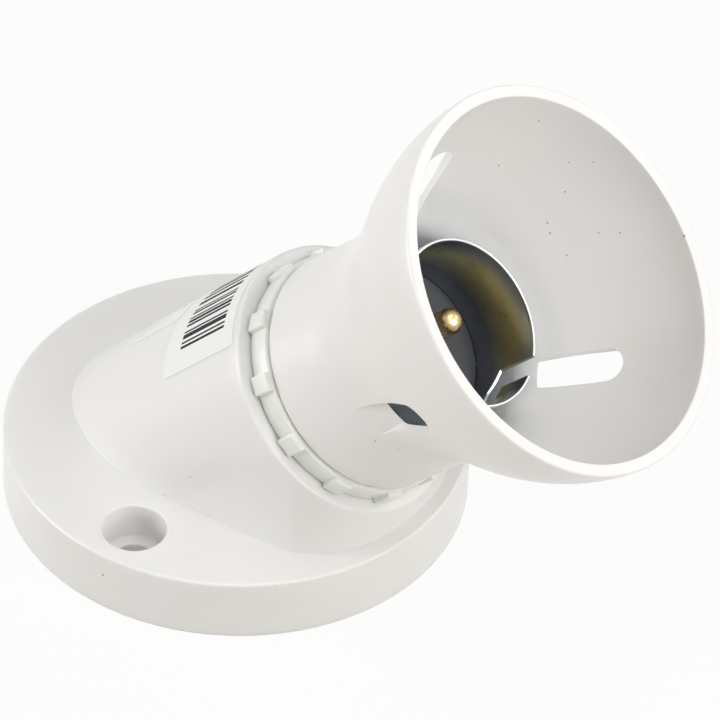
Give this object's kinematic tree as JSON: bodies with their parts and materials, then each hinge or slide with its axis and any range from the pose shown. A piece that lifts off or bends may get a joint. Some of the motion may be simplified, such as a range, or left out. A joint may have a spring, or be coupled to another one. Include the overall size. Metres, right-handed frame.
{
  "type": "batten lamp holder",
  "caption": "Batten lamp holder with a round base, a neck that leans at 45 degrees, a lock ring, and a bell skirt round a bayonet socket with sprung plungers.",
  "frame": {"origin": "centre of the whole part's box, on the plane of the base's open back", "axes": "+Z out of the wall or ceiling that the base is fixed to; +X the way the neck leans; Y across, through the two screw holes"},
  "size_m": [0.0982, 0.064, 0.0747],
  "materials": {
    "white_plastic": "glossy white moulding",
    "ring_plastic": "slightly green off-white moulding",
    "plated_steel": "bright plating",
    "dark_plastic": "blue-black moulding",
    "brass": "turned",
    "spring_steel": "drawn wire",
    "label_paper": "white sticker with plain dark bars",
    "label_film": "bare film sticker"
  },
  "bodies": {
    "holder": {"base_housing": "white_plastic", "bayonet_sleeve": "plated_steel", "plunger_housing": "dark_plastic", "terminal_block": "dark_plastic", "terminal_left": "brass", "terminal_right": "brass", "clamp_screw_left_back": "plated_steel", "clamp_screw_left_front": "plated_steel", "clamp_screw_right_back": "plated_steel", "clamp_screw_right_front": "plated_steel", "block_screw_upper": "plated_steel", "block_screw_lower": "plated_steel", "plunger_spring_left": "spring_steel", "plunger_spring_right": "spring_steel", "bar_label": "label_paper", "clear_label": "label_film"},
    "skirt": {"skirt": "white_plastic"},
    "lock_ring": {"lock_ring": "ring_plastic"},
    "plunger_left": {"plunger_left": "brass"},
    "plunger_right": {"plunger_right": "brass"}
  },
  "joints": [
    {"name": "skirt_turn", "type": "hinge", "parent": "holder", "child": "skirt", "pos_m": [0.00968, 0, 0.03536], "axis": [0.7071, 0, 0.7071], "range_deg": [0, 774]},
    {"name": "lock_ring_turn", "type": "hinge", "parent": "skirt", "child": "lock_ring", "pos_m": [0.00074, 0, 0.02641], "axis": [0.7071, 0, 0.7071], "range_deg": [0, 30]},
    {"name": "plunger_left_press", "type": "slide", "parent": "holder", "child": "plunger_left", "axis": [-0.7071, 0, -0.7071], "range_m": [0, 0.003], "stiffness_N_per_m": 1500, "springref_m": -0.001, "deforming": ["plunger_spring_left"]},
    {"name": "plunger_right_press", "type": "slide", "parent": "holder", "child": "plunger_right", "axis": [-0.7071, 0, -0.7071], "range_m": [0, 0.003], "stiffness_N_per_m": 1500, "springref_m": -0.001, "deforming": ["plunger_spring_right"]}
  ]
}
